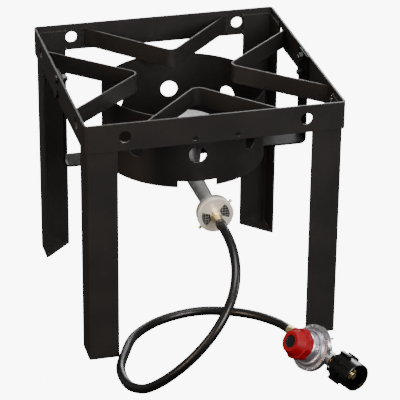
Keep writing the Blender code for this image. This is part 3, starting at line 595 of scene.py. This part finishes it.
zinc = Finish("zinc_shutter", (0.72, 0.67, 0.58), 0.45, 0.55)
zinc_cloud = zinc.noise(90, 4)
zinc.feed("Base Color", zinc.mix(zinc_cloud, (0.80, 0.75, 0.66), (0.68, 0.61, 0.51)))
zinc.feed("Roughness", 0.36 + zinc_cloud * 0.2)
zinc.bump(zinc.noise(1200, 3), 0.00015, 0.4)
dress("air_shutter", zinc.material, 0.0003)
brass = Finish("yellow_brass", (0.70, 0.56, 0.27), 0.28, 1.0)
tarnish = brass.noise(220, 4)
brass.feed("Base Color", brass.mix(brass.ramp(tarnish, 0.4, 0.75), (0.92, 0.76, 0.38), (0.55, 0.40, 0.14)))
brass.feed("Roughness", 0.2 + tarnish * 0.2)
for level in ("upper", "lower"):
    dress(f"shutter_screw_{level}", brass.material, 0.0002)
wire = Finish("screen_wire", (0.20, 0.20, 0.19), 0.5, 0.3)
wire.feed("Roughness", 0.4 + wire.noise(500, 2) * 0.2)
dress("insect_screen", wire.material)

# The thick machined rim of the bell, behind the shutter's lip.
RIM_OUTER = 0.0274
RIM_WALL = 0.0022
RIM_FRONT = shutter_face + 0.0075
RIM_DEPTH = 0.0095
bpy.ops.object.select_all(action="DESELECT")
bpy.ops.mesh.primitive_cylinder_add(vertices=96, radius=RIM_OUTER, depth=RIM_DEPTH, end_fill_type="NGON",
                                    location=(0, RIM_FRONT + RIM_DEPTH / 2, venturi_height),
                                    rotation=(math.pi / 2, 0, 0))
rim = bpy.context.object
rim.name = "bell_rim"
bpy.ops.object.transform_apply(location=True, rotation=True, scale=True)
bpy.ops.object.mode_set(mode="EDIT")
bpy.ops.mesh.select_mode(type="FACE")
bpy.ops.mesh.select_all(action="DESELECT")
shape = bmesh.from_edit_mesh(rim.data)
for face in shape.faces:
    face.select_set(abs(face.normal.y) > 0.9)
bmesh.update_edit_mesh(rim.data)
bpy.ops.mesh.inset(thickness=RIM_WALL)
bpy.ops.mesh.bridge_edge_loops()
bpy.ops.object.mode_set(mode="OBJECT")
bpy.ops.object.shade_smooth_by_angle(angle=math.radians(30))
rim_edges = rim.modifiers.new("edges", "BEVEL")
rim_edges.width = 0.0007
rim_edges.segments = 3
rim_edges.limit_method = "ANGLE"
rim_edges.harden_normals = True
bpy.ops.object.modifier_apply(modifier="edges")
own(rim, cast.material, "stand")

# Hose fittings ---------------------------------------------------------------
# Brass hex with the gas jet in its nose, and the black sleeve crimped behind it.

dress("orifice_fitting", brass.material, 0.0003)
dress("orifice_jet", brass.material)
dress("hose_ferrule_burner", rubber.material, 0.0004)

# Regulator -------------------------------------------------------------------
# Zinc die-cast body and a turned bonnet, clamped together by a rolled steel ring
# over the rubber diaphragm, with the spring and its seat inside.

TURNING_MARKS = 3300

die_cast = Finish("die_cast_zinc", (0.62, 0.62, 0.63), 0.35, 0.95)
die_cloud = die_cast.noise(120, 4)
die_cast.feed("Base Color", die_cast.mix(die_cloud, (0.46, 0.46, 0.49), (0.30, 0.30, 0.32)))
die_cast.feed("Roughness", 0.26 + die_cloud * 0.22)
die_cast.bump(die_cast.noise(1400, 3), 0.0002, 0.4)
dress("regulator_body", die_cast.material, 0.0005, 2, 35)
spun = Finish("turned_bonnet", (0.42, 0.42, 0.45), 0.35, 0.95)
offset = spun.node("ShaderNodeVectorMath", {"operation": "SUBTRACT"}, spun.place, tuple(REGULATOR_AT))
depth_along = Value(spun, spun.node("ShaderNodeVectorMath", {"operation": "DOT_PRODUCT"}, offset,
                                    tuple(bonnet_way)).socket.node.outputs["Value"])
rings = spun.node("ShaderNodeMath", {"operation": "SINE"}, depth_along * TURNING_MARKS)
spun_cloud = spun.noise(160, 4)
spun.feed("Base Color", spun.mix(spun.ramp(rings + spun_cloud, 0.2, 1.4),
                                 (0.30, 0.29, 0.33), (0.74, 0.73, 0.78)))
spun.feed("Roughness", 0.24 + spun_cloud * 0.18)
spun.bump(rings, 0.0002, 0.7)
dress("regulator_bonnet", spun.material, 0.0004, 2, 30)
dress("crimp_ring", bright_steel.material, 0.0002, 2, 30)
dress("vent_stub", bright_steel.material, 0.0002)
for inner in ("diaphragm_plate", "range_spring", "spring_seat", "adjusting_screw"):
    dress(inner, bright_steel.material)
dress("valve_stem", brass.material)
seal = Finish("seal_rubber", (0.015, 0.015, 0.015), 0.6)
seal.feed("Roughness", 0.5 + seal.noise(400, 2) * 0.2)
dress("diaphragm", seal.material)
nipple_seal = finish_cad("nipple_seal", seal.material)
dress("outlet_fitting", brass.material, 0.0003)
inlet_nipple = finish_cad("inlet_nipple", brass.material)

# Knob ------------------------------------------------------------------------
# Red moulded knob with finger grips, which turns the adjusting screw, and a dark
# plug in its middle.

red = Finish("red_knob", (0.24, 0.001, 0.003), 0.45, Specular_IOR_Level=0.16)
red_cloud = red.noise(70, 3)
red.feed("Base Color", red.mix(red_cloud, (0.235, 0.0012, 0.0055), (0.165, 0.0008, 0.0040)))
red.feed("Roughness", 0.42 + red_cloud * 0.15)
red.bump(red.noise(1600, 2), 0.00008, 0.4)
dress("adjusting_knob", red.material, 0.0006, 3, 40)
plug = Finish("dark_plug", (0.0025, 0.0050, 0.0055), 0.25, Specular_IOR_Level=0.3)
plug.feed("Roughness", 0.2 + plug.noise(200, 2) * 0.15)
dress("knob_cap", plug.material, 0.0004)

# Hand nut --------------------------------------------------------------------
# Black moulded hand nut with ribs behind, free to turn on the brass nipple, and
# the slotted brass collar in its mouth.

nut_black = Finish("nut_black", (0.0012, 0.0012, 0.0012), 0.24, Specular_IOR_Level=0.35)
nut_cloud = nut_black.noise(90, 4)
nut_black.feed("Roughness", 0.16 + nut_cloud * 0.16)
nut_black.bump(nut_black.noise(1500, 3), 0.0001, 0.4)
coupling_nut = finish_cad("coupling_nut", nut_black.material, 0.0008, 3, 40)

# The slotted brass collar round the nipple's nose, inside the nut's mouth.
COLLAR_RADIUS = 0.0086
COLLAR_WALL = 0.0022
COLLAR_BACK, COLLAR_FRONT = 0.0826, 0.0880
SLOTS = 4
SLOT_ANGLE = 32
bpy.ops.object.select_all(action="DESELECT")
bpy.ops.mesh.primitive_cylinder_add(vertices=64, radius=COLLAR_RADIUS, depth=COLLAR_FRONT - COLLAR_BACK,
                                    end_fill_type="NOTHING")
collar = bpy.context.object
collar.name = "nose_collar"
bpy.ops.object.mode_set(mode="EDIT")
bpy.ops.mesh.select_mode(type="FACE")
bpy.ops.mesh.select_all(action="DESELECT")
shape = bmesh.from_edit_mesh(collar.data)
for face in shape.faces:
    middle = face.calc_center_median()
    turn = math.degrees(math.atan2(middle.y, middle.x)) % (360 / SLOTS)
    face.select_set(turn < SLOT_ANGLE)
bmesh.update_edit_mesh(collar.data)
bpy.ops.mesh.delete(type="FACE")
bpy.ops.object.mode_set(mode="OBJECT")
wall = collar.modifiers.new("wall", "SOLIDIFY")
wall.thickness = COLLAR_WALL
wall.offset = -1
bpy.ops.object.modifier_apply(modifier="wall")
rounded = collar.modifiers.new("edges", "BEVEL")
rounded.width = 0.0006
rounded.segments = 3
rounded.limit_method = "ANGLE"
bpy.ops.object.modifier_apply(modifier="edges")
bpy.ops.object.shade_smooth_by_angle(angle=math.radians(35))
collar.data.transform(regulator_frame @ Matrix.Translation(((COLLAR_BACK + COLLAR_FRONT) / 2, 0, 0))
                      @ Matrix.Rotation(math.pi / 2, 4, "Y"))
own(collar, brass.material, "stand")

on_hose = [piece for piece in bpy.context.scene.objects if piece.name.removesuffix("_finished")
           in frame["record"]["physics"]["cord_nodes"] and piece.name.endswith("_finished")]
on_hose += [nipple_seal, inlet_nipple, coupling_nut]
